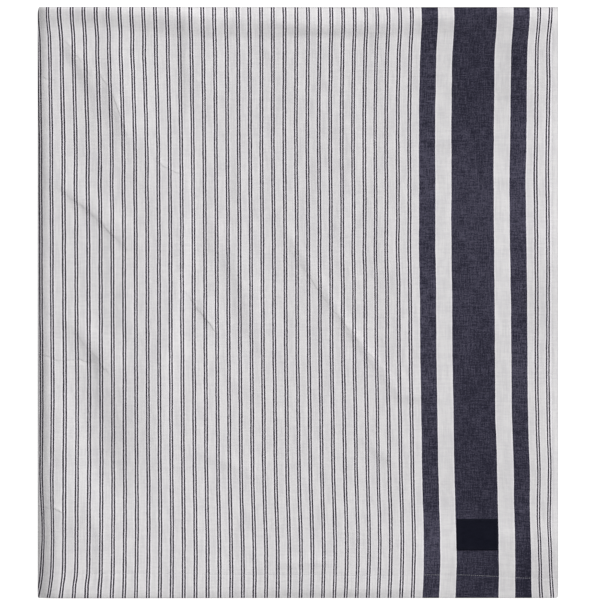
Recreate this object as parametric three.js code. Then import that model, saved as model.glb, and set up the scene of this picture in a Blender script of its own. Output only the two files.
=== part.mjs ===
import * as THREE from 'three';

// A striped tablecloth folded for a shelf. It is folded in half across its width, and the double cloth
// is then folded back and forth in three along its length, so six layers lie on each other.
// The stack lies on z = 0 with its footprint centred on the origin. +X points to the open side edges,
// +Y to the fold at the head of the top third, and +Z out of the face that carries the label.
// Sizes are in millimetres.

// The cloth as it was cut and hemmed.
const CLOTH_WIDTH = 1500;
const CLOTH_LENGTH = 2500;
const PLY_THICKNESS = 1;
const END_HEM_WIDTH = 32;
const SIDE_HEM_WIDTH = 10;
const HEM_EXTRA = 0.3; // a hem is thicker than the plain cloth by this, on its wrong side
const HEM_RAMP = 1; // the length over which a hem's turned edge falls to the plain cloth

// The air that stays between the layers.
const PLY_GAP = 0.9; // between the two plies of a third
const THIRD_GAP = 0.9; // between one third and the next

// The folded stack. The face ply of the double cloth carries the label, the back ply lies behind it.
const FOLDED_LENGTH = 852;
const BACK_PLY_INSET = 2.5; // the back ply's side edge stays this far inside the face ply's

// The two folds across the length. Each fold line runs from its left place, over the lengthwise fold,
// to its right place, over the side edges. The foot fold lies short of the hem above it.
const FOLDS = [
  { name: 'head', left: FOLDED_LENGTH / 2, right: FOLDED_LENGTH / 2 },
  { name: 'foot', left: -FOLDED_LENGTH / 2 + 18, right: -FOLDED_LENGTH / 2 + 8 },
];

// How far each third stays inside the stack's widest outline, at its lengthwise fold and side edges.
const THIRDS = [
  { name: 'top', foldInset: 0, edgeInset: 0 },
  { name: 'middle', foldInset: 1.5, edgeInset: 1 },
  { name: 'bottom', foldInset: 2.5, edgeInset: 2 },
];

// The label, and its centre's distance from the cloth's side edge and end.
const LABEL_WIDTH = 59;
const LABEL_HEIGHT = 45;
const LABEL_THICKNESS = 1;
const LABEL_FROM_SIDE = 117;
const LABEL_FROM_END = 91;
const SEWN_GAP = 0.3;

// How finely the round folds are divided.
const LENGTHWISE_FOLD_STEPS = 8;
const CROSS_FOLD_STEPS = 8;

// Sizes that follow from the ones above. Half a third's height is the outer radius of its lengthwise
// fold, and the middle radius of a fold is that of the cloth's own middle line.
const THIRD_HEIGHT = 2 * PLY_THICKNESS + PLY_GAP;
const HALF_THIRD = THIRD_HEIGHT / 2;
const HALF_GAP = PLY_GAP / 2;
const LENGTHWISE_FOLD_RADIUS = (HALF_THIRD + HALF_GAP) / 2;
const CROSS_FOLD_RADIUS = (THIRD_HEIGHT + THIRD_GAP) / 2;
const FOLDED_WIDTH =
  (CLOTH_WIDTH + BACK_PLY_INSET - Math.PI * LENGTHWISE_FOLD_RADIUS) / 2 + HALF_THIRD;
const CROSS_FOLD_LENGTH = Math.PI * CROSS_FOLD_RADIUS;
const STACK_HEIGHT = 3 * THIRD_HEIGHT + 2 * THIRD_GAP;

// The height of the middle of each third.
const TOP_Z = STACK_HEIGHT - HALF_THIRD;
const MIDDLE_Z = TOP_Z - THIRD_HEIGHT - THIRD_GAP;
const BOTTOM_Z = MIDDLE_Z - THIRD_HEIGHT - THIRD_GAP;

// A line across the stack, with its place along Y at the left and at the right.
function line(left, right) {
  return { left, right };
}

function moved(from, distance) {
  return line(from.left + distance, from.right + distance);
}

// The end of the bottom third is where the cloth's length runs out, after the top and middle thirds and
// the two round folds.
function lastEnd(firstEnd, headCentre, footCentre) {
  const endAt = (side) => {
    const topThird = headCentre[side] - firstEnd[side];
    const middleThird = headCentre[side] - footCentre[side];
    const left = CLOTH_LENGTH - topThird - middleThird - 2 * CROSS_FOLD_LENGTH;
    return footCentre[side] + left;
  };
  return line(endAt('left'), endAt('right'));
}

// The stations that the double cloth passes, from the hem that shows to the hem underneath. A station
// has its line along Y, its height, the direction (up) in which the face ply lies from the middle of
// the double cloth, the third it belongs to (0 to 2) and whether it is in an end hem.
function foldedPath() {
  const [head, foot] = FOLDS;
  const outerRadius = CROSS_FOLD_RADIUS + HALF_THIRD;
  const firstEnd = line(-FOLDED_LENGTH / 2, -FOLDED_LENGTH / 2);
  const headCentre = moved(head, -outerRadius);
  const footCentre = moved(foot, outerRadius);
  const end = lastEnd(firstEnd, headCentre, footCentre);
  const stations = [];

  const add = (place, z, upY, upZ, third, hem) => {
    stations.push({ place, z, upY, upZ, third, hem });
  };

  // A half turn about a centre line. The face ply is outside at the head fold, where sense is 1, and
  // inside at the foot fold, where sense is -1.
  const turn = (centre, centreZ, sense, third) => {
    for (let step = 0; step <= CROSS_FOLD_STEPS; step += 1) {
      const part = step / CROSS_FOLD_STEPS;
      const angle = Math.PI / 2 - sense * Math.PI * part;
      const across = Math.cos(angle);
      const upward = Math.sin(angle);
      add(
        moved(centre, CROSS_FOLD_RADIUS * across),
        centreZ + CROSS_FOLD_RADIUS * upward,
        sense * across,
        sense * upward,
        third + part,
        false,
      );
    }
  };

  add(firstEnd, TOP_Z, 0, 1, 0, true);
  add(moved(firstEnd, END_HEM_WIDTH - HEM_RAMP), TOP_Z, 0, 1, 0, true);
  add(moved(firstEnd, END_HEM_WIDTH), TOP_Z, 0, 1, 0, false);
  turn(headCentre, (TOP_Z + MIDDLE_Z) / 2, 1, 0);
  turn(footCentre, (MIDDLE_Z + BOTTOM_Z) / 2, -1, 1);
  add(moved(end, -END_HEM_WIDTH), BOTTOM_Z, 0, 1, 2, false);
  add(moved(end, HEM_RAMP - END_HEM_WIDTH), BOTTOM_Z, 0, 1, 2, true);
  add(end, BOTTOM_Z, 0, 1, 2, true);
  return stations;
}

// A value of the table of thirds at a place between two of them, for a station on a round fold.
function insetAt(third, key) {
  const from = THIRDS[Math.floor(third)];
  const to = THIRDS[Math.ceil(third)];
  return THREE.MathUtils.lerp(from[key], to[key], third - Math.floor(third));
}

// The outline of the double cloth at a station, as points of X and height over the middle between its
// plies. It runs along the outside from the back ply's side edge round the lengthwise fold to the face
// ply's side edge, and back along the inside, where the side hems and the end hems are thicker.
function section(station) {
  const foldX = -FOLDED_WIDTH / 2 + insetAt(station.third, 'foldInset') + HALF_THIRD;
  const faceX = FOLDED_WIDTH / 2 - insetAt(station.third, 'edgeInset');
  const backX = faceX - BACK_PLY_INSET;
  const hemGap = HALF_GAP - HEM_EXTRA;
  const plainGap = station.hem ? hemGap : HALF_GAP;
  const points = [];

  const add = (x, height) => points.push(new THREE.Vector2(x, height));
  const halfRing = (radius, sense) => {
    for (let step = 0; step <= LENGTHWISE_FOLD_STEPS; step += 1) {
      const angle = Math.PI * step / LENGTHWISE_FOLD_STEPS;
      add(foldX - radius * Math.sin(angle), -sense * radius * Math.cos(angle));
    }
  };

  add(backX, -HALF_THIRD);
  halfRing(HALF_THIRD, 1);
  add(faceX, HALF_THIRD);
  add(faceX, hemGap);
  add(faceX - SIDE_HEM_WIDTH + HEM_RAMP, hemGap);
  add(faceX - SIDE_HEM_WIDTH, plainGap);
  halfRing(plainGap, -1);
  add(backX - SIDE_HEM_WIDTH, -plainGap);
  add(backX - SIDE_HEM_WIDTH + HEM_RAMP, -hemGap);
  add(backX, -hemGap);
  return points;
}

// Puts a point of a section at its place in the stack.
function placed(point, station) {
  const along = point.x / FOLDED_WIDTH + 0.5;
  const y = THREE.MathUtils.lerp(station.place.left, station.place.right, along);
  return [point.x, y + station.upY * point.y, station.z + station.upZ * point.y];
}

// One closed solid: the outline carried along the folded path, with an end face on each hem.
function foldedCloth() {
  const stations = foldedPath();
  const outlines = stations.map(section);
  const count = outlines[0].length;
  const positions = [];
  const indices = [];

  outlines.forEach((outline, index) => {
    outline.forEach((point) => positions.push(...placed(point, stations[index])));
  });

  for (let index = 0; index < stations.length - 1; index += 1) {
    for (let corner = 0; corner < count; corner += 1) {
      const next = (corner + 1) % count;
      const here = index * count;
      const beyond = here + count;
      indices.push(here + corner, here + next, beyond + next);
      indices.push(here + corner, beyond + next, beyond + corner);
    }
  }

  const endFace = (index, facesBack) => {
    const start = index * count;
    THREE.ShapeUtils.triangulateShape(outlines[index], []).forEach(([a, b, c]) => {
      indices.push(start + a, start + (facesBack ? b : c), start + (facesBack ? c : b));
    });
  };
  endFace(0, true);
  endFace(stations.length - 1, false);

  const geometry = new THREE.BufferGeometry();
  geometry.setAttribute('position', new THREE.Float32BufferAttribute(positions, 3));
  geometry.setIndex(indices);
  geometry.computeVertexNormals();
  return geometry;
}

// A flat woven label with square corners.
function sewnLabel() {
  const outline = new THREE.Shape();
  outline.moveTo(-LABEL_WIDTH / 2, -LABEL_HEIGHT / 2);
  outline.lineTo(LABEL_WIDTH / 2, -LABEL_HEIGHT / 2);
  outline.lineTo(LABEL_WIDTH / 2, LABEL_HEIGHT / 2);
  outline.lineTo(-LABEL_WIDTH / 2, LABEL_HEIGHT / 2);
  outline.closePath();
  return new THREE.ExtrudeGeometry(outline, { depth: LABEL_THICKNESS, bevelEnabled: false });
}

const clothMaterial = new THREE.MeshStandardMaterial({
  color: 0xd5d3d5,
  roughness: 0.9,
  metalness: 0,
});
const labelMaterial = new THREE.MeshStandardMaterial({
  color: 0x17182a,
  roughness: 0.7,
  metalness: 0,
});

const cloth = new THREE.Mesh(foldedCloth(), clothMaterial);
cloth.name = 'tablecloth';

const label = new THREE.Mesh(sewnLabel(), labelMaterial);
label.name = 'label';
label.position.set(
  FOLDED_WIDTH / 2 - LABEL_FROM_SIDE,
  -FOLDED_LENGTH / 2 + LABEL_FROM_END,
  STACK_HEIGHT + SEWN_GAP,
);

const foldedTablecloth = new THREE.Group();
foldedTablecloth.add(cloth, label);

export default foldedTablecloth;
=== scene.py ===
import math

import bmesh
import bpy
import numpy as np
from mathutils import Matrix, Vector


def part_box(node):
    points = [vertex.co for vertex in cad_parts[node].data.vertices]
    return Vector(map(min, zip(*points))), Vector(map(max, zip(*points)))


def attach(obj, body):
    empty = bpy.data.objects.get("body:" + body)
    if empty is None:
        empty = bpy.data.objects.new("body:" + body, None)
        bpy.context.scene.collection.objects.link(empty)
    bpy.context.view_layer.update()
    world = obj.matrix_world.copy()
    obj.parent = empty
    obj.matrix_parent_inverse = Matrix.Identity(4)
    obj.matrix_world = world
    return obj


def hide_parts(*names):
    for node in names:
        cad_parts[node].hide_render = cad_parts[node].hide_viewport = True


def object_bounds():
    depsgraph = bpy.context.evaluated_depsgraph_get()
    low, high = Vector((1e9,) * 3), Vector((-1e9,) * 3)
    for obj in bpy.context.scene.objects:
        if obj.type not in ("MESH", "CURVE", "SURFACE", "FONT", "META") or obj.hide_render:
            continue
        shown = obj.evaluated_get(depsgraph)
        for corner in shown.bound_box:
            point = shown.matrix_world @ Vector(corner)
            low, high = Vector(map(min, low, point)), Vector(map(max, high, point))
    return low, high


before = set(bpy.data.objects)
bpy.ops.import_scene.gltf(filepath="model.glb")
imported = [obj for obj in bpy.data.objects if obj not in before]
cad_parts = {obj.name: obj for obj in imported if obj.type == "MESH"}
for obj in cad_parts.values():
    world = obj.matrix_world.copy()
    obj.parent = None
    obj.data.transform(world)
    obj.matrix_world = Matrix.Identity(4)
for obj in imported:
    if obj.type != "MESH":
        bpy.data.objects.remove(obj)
cad_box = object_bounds()
bpy.ops.object.select_all(action="DESELECT")

# The camera looks straight down on the folded cloth through a long lens, which keeps its sides
# parallel. The picture shows a square that is a little longer than the stack, and the stack lies
# slightly left of the middle of it and below it.
PICTURE_SIDE = 0.8652
PICTURE_CENTRE_X = 0.0030
PICTURE_CENTRE_Y = 0.0038
CAMERA_DISTANCE = 5.0
SENSOR_WIDTH = 36.0

camera_data = bpy.data.cameras.new("camera")
camera_data.sensor_width = SENSOR_WIDTH
camera_data.lens = SENSOR_WIDTH * CAMERA_DISTANCE / PICTURE_SIDE
camera = bpy.data.objects.new("camera", camera_data)
camera.location = (PICTURE_CENTRE_X, PICTURE_CENTRE_Y, cad_box[1][2] + CAMERA_DISTANCE)
bpy.context.scene.collection.objects.link(camera)
bpy.context.scene.camera = camera

# The studio: a pale table top, a broad soft lamp on the right towards the head fold, and even white
# light from all round. The table top glows, as a light table does, so hardly a shadow lies on it.
FLOOR_SIDE = 40.0
FLOOR_Z = -0.0002
LAMP_ELEVATION = math.radians(27.5)
LAMP_AZIMUTH = math.radians(40)
LAMP_STRENGTH = 4.85
LAMP_ANGLE = math.radians(22)
ROOM_STRENGTH = 0.385
WHITE = (1, 1, 1, 1)
FLOOR_GREY = (0.2, 0.2, 0.2, 1)
FLOOR_GLOW = 0.98

bpy.ops.mesh.primitive_plane_add(size=FLOOR_SIDE, location=(0, 0, FLOOR_Z))
floor = bpy.context.object
floor.name = "floor"
floor_material = bpy.data.materials.new("pale_table_top")
floor_material.use_nodes = True
floor_surface = floor_material.node_tree.nodes["Principled BSDF"]
floor_surface.inputs["Base Color"].default_value = FLOOR_GREY
floor_surface.inputs["Roughness"].default_value = 0.9
floor_surface.inputs["Specular IOR Level"].default_value = 0.0
floor_surface.inputs["Emission Color"].default_value = WHITE
floor_surface.inputs["Emission Strength"].default_value = FLOOR_GLOW
floor.data.materials.append(floor_material)
floor.select_set(False)

lamp_data = bpy.data.lights.new("soft_lamp", "SUN")
lamp_data.energy = LAMP_STRENGTH
lamp_data.angle = LAMP_ANGLE
lamp = bpy.data.objects.new("soft_lamp", lamp_data)
lamp.rotation_euler = (0, math.pi / 2 - LAMP_ELEVATION, LAMP_AZIMUTH)
bpy.context.scene.collection.objects.link(lamp)

room = bpy.data.worlds.new("white_room")
room.use_nodes = True
room.node_tree.nodes["Background"].inputs["Color"].default_value = WHITE
room.node_tree.nodes["Background"].inputs["Strength"].default_value = ROOM_STRENGTH
bpy.context.scene.world = room
bpy.context.scene.view_settings.view_transform = "Standard"

# The tablecloth. The real piece is one length of yarn-dyed woven cloth with lengthwise stripes, hemmed
# on all four edges. It is folded in half across its width, and the double cloth is folded back and
# forth in three along its length. Its sizes are in millimetres here, and the mesh is made in metres.
MILLIMETRE = 0.001
CLOTH_WIDTH = 1500.0
CLOTH_LENGTH = 2500.0
PLY_THICKNESS = 1.0
PLY_GAP = 0.9
THIRD_GAP = 0.9
END_HEM_WIDTH = 32.0
SIDE_HEM_WIDTH = 10.0
HEM_EXTRA = 0.22
BACK_PLY_INSET = 2.5
BACK_PLY_FOLLOWS = 0.5
FOOT_FOLD_INSET_LEFT = 18.0
FOOT_FOLD_INSET_RIGHT = 8.0

cloth_low, cloth_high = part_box("tablecloth")
FOLDED_WIDTH = (cloth_high.x - cloth_low.x) / MILLIMETRE
FOLDED_LENGTH = (cloth_high.y - cloth_low.y) / MILLIMETRE
STACK_HEIGHT = (cloth_high.z - cloth_low.z) / MILLIMETRE
THIRD_HEIGHT = 2 * PLY_THICKNESS + PLY_GAP
HALF_THIRD = THIRD_HEIGHT / 2
PLY_MIDDLE = (PLY_THICKNESS + PLY_GAP) / 2
CROSS_FOLD_RADIUS = (THIRD_HEIGHT + THIRD_GAP) / 2
EDGE_PRESS = 0.22
EDGE_ROUND = EDGE_PRESS * (PLY_THICKNESS + HEM_EXTRA) / 2
FOLD_PRESS = 0.3
FOLD_SQUARENESS = 0.32
OPEN_CORNER_RADIUS = 4.5
FOLD_CORNER_RADIUS = 3.0
HEAD_CORNER_INSET = 2.0
HEAD_CORNER_LENGTH = 10.0


def table(columns, *rows):
    """A list of rows, each with its values under the names of the columns."""
    return [dict(zip(columns.split(), row)) for row in rows]


# How each third lies: how far it stays inside the stack at the lengthwise fold and at the side edges,
# and how much of the stack's swell lifts its face ply and its back ply.
THIRDS = table(
    "name fold_inset edge_inset face_lift back_lift",
    ("top", 0.5, 0.0, 1.0, 0.8),
    ("middle", 1.5, 1.0, 0.4, 0.6),
    ("bottom", 2.5, 2.0, 0.2, 0.0),
)

# How finely the mesh is divided along the cloth and across it. Each stretch starts at a distance and
# has its own spacing, closer where a fold or a hem needs it.
TOP_THIRD_SPACING = [(0, 0.2), (0.4, 0.8), (2.0, 4.0), (26, 1.4), (36, 3.3), (846, 1.7)]
MIDDLE_THIRD_SPACING = [(0, 5), (15, 75), (820, 5)]
BOTTOM_THIRD_SPACING = [(0, 5), (15, 75), (767, 1.5), (778, 6)]
FACE_PLY_SPACING = [(0, 0.2), (0.4, 0.6), (1.6, 2.0), (7.6, 1.0), (11.6, 6.0), (202, 3.3), (736, 1.7)]
BACK_PLY_SPACING = [(0, 3.5), (14, 60), (736, 1.5), (744, 3)]
ROUND_FOLD_STEPS = 10


def places(stretches, end):
    found = []
    starts = [start for start, spacing in stretches] + [end]
    for index, (start, spacing) in enumerate(stretches):
        stretch = starts[index + 1] - start
        count = max(1, round(stretch / spacing))
        found.extend(start + stretch * step / count for step in range(count))
    return np.array(found + [end])


def smooth(share):
    share = np.clip(share, 0, 1)
    return share * share * (3 - 2 * share)


def unit(vectors):
    return vectors / np.linalg.norm(vectors, axis=-1, keepdims=True)


def squared(share):
    """Turns a round fold's course into that of a fold that was pressed into a squarer one."""
    return math.copysign(abs(share) ** FOLD_SQUARENESS, share)


def folded_rows():
    """The rows across the double cloth, from the hem that shows to the hem underneath: their places
    along Y at the left and the right, height, the way up of the face ply, third and cloth length."""
    fold_reach = FOLD_PRESS * (CROSS_FOLD_RADIUS + HALF_THIRD)
    start = -FOLDED_LENGTH / 2 + EDGE_ROUND
    head = FOLDED_LENGTH / 2 - fold_reach
    foot = np.array([FOOT_FOLD_INSET_LEFT, FOOT_FOLD_INSET_RIGHT])
    foot = foot + fold_reach - FOLDED_LENGTH / 2
    turn_length = math.pi * CROSS_FOLD_RADIUS
    top_z = STACK_HEIGHT - HALF_THIRD
    middle_z = top_z - THIRD_HEIGHT - THIRD_GAP
    bottom_z = middle_z - THIRD_HEIGHT - THIRD_GAP
    rows = []

    def add(place, z, up_y, up_z, third, along):
        rows.append((place[0], place[1], z, up_y, up_z, third, along))

    def turn(centre, centre_z, sense, third, along):
        for step in range(1, ROUND_FOLD_STEPS):
            part = step / ROUND_FOLD_STEPS
            angle = math.pi / 2 - sense * math.pi * part
            out = FOLD_PRESS * squared(math.cos(angle))
            up = squared(math.sin(angle))
            place = (centre[0] + CROSS_FOLD_RADIUS * out, centre[1] + CROSS_FOLD_RADIUS * out)
            height = centre_z + CROSS_FOLD_RADIUS * up
            add(place, height, sense * out, sense * up, third + part, along + turn_length * part)

    for distance in places(TOP_THIRD_SPACING, head - start):
        add((start + distance, start + distance), top_z, 0, 1, 0, EDGE_ROUND + distance)
    along = EDGE_ROUND + head - start
    turn((head, head), (top_z + middle_z) / 2, 1, 0, along)
    along += turn_length
    middle_length = head - foot
    for distance in places(MIDDLE_THIRD_SPACING, middle_length.mean()):
        place = head - middle_length * distance / middle_length.mean()
        add(place, middle_z, 0, -1, 1, along + distance)
    along += middle_length.mean()
    turn(foot, (middle_z + bottom_z) / 2, -1, 1, along)
    along += turn_length
    bottom_length = CLOTH_LENGTH - EDGE_ROUND - (head - start) - EDGE_ROUND
    bottom_length = bottom_length - middle_length - 2 * turn_length
    for distance in places(BOTTOM_THIRD_SPACING, bottom_length.mean()):
        place = foot + bottom_length * distance / bottom_length.mean()
        add(place, bottom_z, 0, 1, 2, along + distance)
    names = ["left", "right", "z", "up_y", "up_z", "third", "along"]
    return {name: np.array(column)[:, None] for name, column in zip(names, zip(*rows))}


def ply_columns():
    """The columns from the face ply's side edge round the lengthwise fold to the back ply's edge: the
    share of the way back from the fold to the side edge, and the angle turned round the fold."""
    length = FOLDED_WIDTH - HALF_THIRD - EDGE_ROUND
    face = 1 - places(FACE_PLY_SPACING, length) / length
    ring = np.linspace(0, math.pi, ROUND_FOLD_STEPS + 1)[1:-1]
    back = places(BACK_PLY_SPACING, length) / length
    edge_share = np.concatenate([face, np.zeros_like(ring), back])
    turned = np.concatenate([np.zeros_like(face), ring, np.full_like(back, math.pi)])
    return edge_share[None, :], turned[None, :]


def by_third(third, key):
    """A value of the table of thirds, which changes smoothly along a round fold."""
    return np.interp(third, range(len(THIRDS)), [row[key] for row in THIRDS])


# The swell of the stack. It is pressed flat at its folds and edges and stands higher between them, most
# of all inside the lengthwise fold towards the foot, and from there it falls off towards the sides.
SWELL = 1.5
SWELL_FALL_START = 60.0
SWELL_FALL_LENGTH = 300.0
SIDE_SHOULDER = 26.0
FOOT_SHOULDER = 8.0
SWELL_AT_FOOT = 0.8
SWELL_PAST_FOOT = 0.2
FOLD_SIDE = table(
    "y reach rise pressed",
    (-426, 33, 8.8, -2.2),
    (-315, 32, 7.9, -2.3),
    (-230, 22, 5.0, -1.5),
    (-120, 19, 4.4, -1.2),
    (60, 17, 4.0, -1.2),
    (260, 16.5, 4.3, -1.2),
    (426, 16, 4.2, -1.2),
)

# The bulge beside the head fold, by place across the cloth: how far its crest and its foot lie from
# the fold, how high it stands over the swell, and how sharply it ends at its foot.
NEAR_HEAD_SLOPE = 0.16
NEAR_HEAD_CURVE = 1.4
BULGE_AT_FOLD = 0.6
BULGE_PAST_FOLD = 0.4
BULGE_AT_SIDE = 0.5
BULGE_PAST_SIDE = 0.5
HEAD_BULGE = table(
    "x crest foot height sharp",
    (-376, 4, 34, 2.4, 0.0),
    (-320, 4, 32, 3.0, 0.0),
    (-285, 6, 32, 3.1, 0.0),
    (-228, 9, 38, 3.1, 0.2),
    (-170, 15, 43, 2.9, 0.3),
    (-112, 18, 44, 2.5, 0.5),
    (-50, 20, 46, 2.3, 0.4),
    (5, 25, 42, 2.4, 0.7),
    (60, 26, 42, 1.8, 0.7),
    (125, 23, 44, 1.6, 0.6),
    (210, 17, 40, 2.2, 0.4),
    (290, 9, 44, 1.4, 0.2),
    (350, 18, 36, 1.0, 0.2),
    (376, 18, 36, 0.8, 0.2),
)


def from_table(table, place_name, place, value_name):
    """A value from a table's column, which changes smoothly from row to row."""
    known = np.array([row[place_name] for row in table], float)
    values = np.array([row[value_name] for row in table], float)
    step = np.clip(np.searchsorted(known, place) - 1, 0, len(table) - 2)
    share = smooth((place - known[step]) / (known[step + 1] - known[step]))
    return values[step] + (values[step + 1] - values[step]) * share


def shoulder(distance, reach):
    return 1 - (1 - np.clip(distance / reach, 0, 1)) ** 2


def stack_swell(x, y):
    """How far the top of the stack stands over its flat height."""
    from_fold = x + FOLDED_WIDTH / 2
    at_fold = shoulder(from_fold, from_table(FOLD_SIDE, "y", y, "reach"))
    at_side = shoulder(FOLDED_WIDTH / 2 - x, SIDE_SHOULDER)
    at_foot = shoulder(FOLDED_LENGTH / 2 + y, FOOT_SHOULDER)
    rise = from_table(FOLD_SIDE, "y", y, "rise")
    pressed = from_table(FOLD_SIDE, "y", y, "pressed")
    fall = smooth((from_fold - SWELL_FALL_START) / SWELL_FALL_LENGTH)
    highest = SWELL + (rise + pressed - SWELL) * (1 - fall)
    swell = np.minimum(pressed + rise * at_fold, highest)
    swell = swell * at_side * (SWELL_AT_FOOT + SWELL_PAST_FOOT * at_foot)

    from_head = FOLDED_LENGTH / 2 - y
    crest = from_table(HEAD_BULGE, "x", x, "crest")
    foot = from_table(HEAD_BULGE, "x", x, "foot")
    sharp = from_table(HEAD_BULGE, "x", x, "sharp")
    past_crest = np.clip((from_head - crest) / (foot - crest), 0, 1)
    bulge = 1 - sharp * past_crest**2 - (1 - sharp) * smooth(past_crest)
    bulge = bulge * from_table(HEAD_BULGE, "x", x, "height")
    bulge -= np.clip(1 - from_head / crest, 0, 1) ** NEAR_HEAD_CURVE * NEAR_HEAD_SLOPE * crest
    bulge = bulge * (BULGE_AT_FOLD + BULGE_PAST_FOLD * at_fold)
    return swell + bulge * (BULGE_AT_SIDE + BULGE_PAST_SIDE * at_side)


# The broad soft hills of the top ply: their middle, their half size across and along, their height.
HILLS = table(
    "name x y across along height",
    ("fold side low", -208, -132, 82, 120, 2.9),
    ("fold side high", -245, 255, 52, 130, 1.7),
    ("fold side middle", -224, 32, 50, 60, 1.4),
    ("low by the fold", -348, -156, 26, 90, 1.4),
    ("high by the fold", -348, 190, 22, 60, 1.0),
    ("foot corner", -296, -314, 45, 45, 1.0),
    ("middle of the hem", 47, -430, 170, 90, 2.0),
    ("below the label", 304, -362, 50, 32, 1.1),
)

# The creases left by the way the cloth lay before: ridges stand up and troughs lie in it. Each has its
# height, its half widths on the side that faces the lamp and on the other, and its line downwards or
# to the right, in millimetres from the middle of the stack.
CREASES = table(
    "name height lit shaded line",
    (
        "head corner ridge", 2.2, 30, 15,
        [(-266, 420), (-266, 349), (-265, 314), (-258, 285), (-247, 247), (-229, 195)],
    ),
    ("corner streak", 1.8, 30, 11, [(-345, 395), (-316, 351), (-299, 320), (-282, 280)]),
    ("head step", 1.9, 50, 8, [(-162, 470), (-160, 360), (-158, 250)]),
    (
        "long soft ridge", 2.0, 13, 60,
        [(-164, 330), (-165, 234), (-164, 148), (-168, 60), (-182, -20), (-192, -80),
         (-196, -190), (-198, -310)],
    ),
    ("corner nick", 0.7, 8, 7, [(-218, 248), (-216, 124)]),
    (
        "fold side slant", 1.4, 20, 7.5,
        [(-374, 184), (-333, 164), (-300, 138), (-284, 123), (-264, 102), (-244, 84), (-222, 60)],
    ),
    ("short upright", 0.4, 9, 8, [(-268, 118), (-268, 16)]),
    ("middle upright", 0.8, 12, 14, [(-248, 66), (-248, -68)]),
    ("low slant", 1.7, 20, 13, [(-348, -4), (-308, -46), (-288, -72), (-256, -112)]),
    ("low upright", 1.0, 30, 9, [(-292, -40), (-282, -98), (-280, -184)]),
    (
        "low trough", -2.1, 47, 30,
        [(-342, -56), (-320, -112), (-302, -184), (-282, -248), (-264, -284), (-236, -336)],
    ),
    ("foot upright", 0.8, 12, 10, [(-284, -300), (-284, -416)]),
    ("middle slant", 1.3, 24, 13, [(-112, 130), (-94, 62), (-78, 14), (-58, -56), (-46, -98)]),
    ("middle spot", 1.0, 8, 14, [(-120, 128), (-116, 60)]),
    ("row of dents", 1.2, 16, 7, [(-146, 16), (-136, -6), (-120, -40)]),
    ("thin upright", 0.6, 12, 8, [(-84, 248), (-86, 46)]),
    (
        "long slant", 0.85, 8, 7,
        [(-60, 172), (-20, 110), (28, 34), (72, -34), (124, -104), (196, -196)],
    ),
    ("slant's end", 1.1, 22, 7, [(116, -130), (228, -138)]),
    ("border slant", 0.6, 12, 6, [(80, -184), (112, -212), (152, -240)]),
    ("low middle fold", 0.5, 12, 7, [(-168, -192), (-132, -222), (-96, -232), (-32, -268)]),
    ("head upright", 0.7, 12, 18, [(-8, 408), (-8, 236)]),
    ("broad upright", 0.8, 20, 40, [(76, 320), (84, 148)]),
    ("right upright", 0.6, 14, 14, [(124, 148), (126, 16)]),
    ("inner upright", 0.5, 12, 14, [(64, 176), (64, 76)]),
    ("border low line", 0.6, 14, 6, [(282, -330), (368, -334)]),
    ("border high line", 0.4, 10, 6, [(162, 232), (268, 228)]),
    ("border middle line", 0.45, 12, 6, [(234, 180), (360, 176)]),
    ("border head line", 0.5, 14, 12, [(176, 308), (368, 312)]),
    ("border upright", 1.8, 22, 26, [(324, 440), (320, 350), (322, 250)]),
    ("hem dent", 0.8, 10, 4, [(-60, -380), (0, -377), (70, -374)]),
    ("border low dent", 0.8, 12, 12, [(250, -340), (300, -338), (330, -350)]),
)
CREASE_END = 0.4
RELIEF_EDGE = 12.0

# Sharp fine creases on some of these, too narrow for the mesh. The mesh carries the distance from the
# nearest one and its height there, and the material makes a fine ridge or trough of them.
FINE_CREASES = table(
    "name height line",
    (
        "fold side slant", 0.2,
        [(-352, 169), (-337, 161), (-316, 143), (-303, 134), (-288, 120), (-267, 98), (-236, 70)],
    ),
    ("low edge trough", -0.22, [(-280, -88), (-319, -83), (-342, -85), (-374, -75), (-396, -68)]),
    ("low slant", 0.18, [(-325, -38), (-315, -49), (-302, -65), (-288, -81), (-266, -110)]),
    ("row of dents", 0.3, [(-164, 22), (-155, 9), (-142, -11), (-130, -26), (-108, -52)]),
    (
        "long slant", 0.14,
        [(-30, 104), (-11, 76), (12, 46), (38, 8), (56, -14), (87, -54), (125, -99), (146, -126)],
    ),
    ("corner streak", 0.17, [(-342, 384), (-322, 364), (-308, 343), (-294, 322)]),
    ("head corner ridge", 0.24, [(-296, 346), (-273, 314), (-264, 294), (-252, 262), (-244, 232)]),
    ("high edge nick", -0.16, [(-340, 317), (-357, 320), (-374, 325), (-396, 328)]),
    ("low edge nick", 0.3, [(-396, -288), (-366, -294), (-350, -297), (-330, -304)]),
    ("short slant", 0.2, [(-210, 208), (-184, 192), (-156, 184)]),
)
FINE_LIT = 7.0
FINE_SHADED = 2.4
FINE_END = 0.2
FINE_REACH = 13.0
FINE_REACH_FADE = 4.0
FAR_APART = 1e6

# The lasting unevenness of cloth that was washed, ironed and handled: slight waves of several sizes
# that run mostly along the cloth, drawn at random from a fixed seed.
WAVES = table(
    "length height count",
    (80, 0.10, 7),
    (40, 0.06, 10),
    (20, 0.03, 12),
)
WAVE_SPREAD = math.radians(32)
SHORTEST_WAVE = 0.75
LONGEST_WAVE = 1.35
WAVE_PEAK = 1.4
WAVE_SEED = 7
wave_draw = np.random.default_rng(WAVE_SEED)
WAVE_TRAINS = [
    {
        "heading": wave_draw.normal(0, WAVE_SPREAD),
        "length": row["length"] * wave_draw.uniform(SHORTEST_WAVE, LONGEST_WAVE),
        "phase": wave_draw.uniform(0, 2 * math.pi),
        "height": row["height"] / math.sqrt(row["count"]) * WAVE_PEAK,
    }
    for row in WAVES
    for index in range(row["count"])
]


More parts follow.
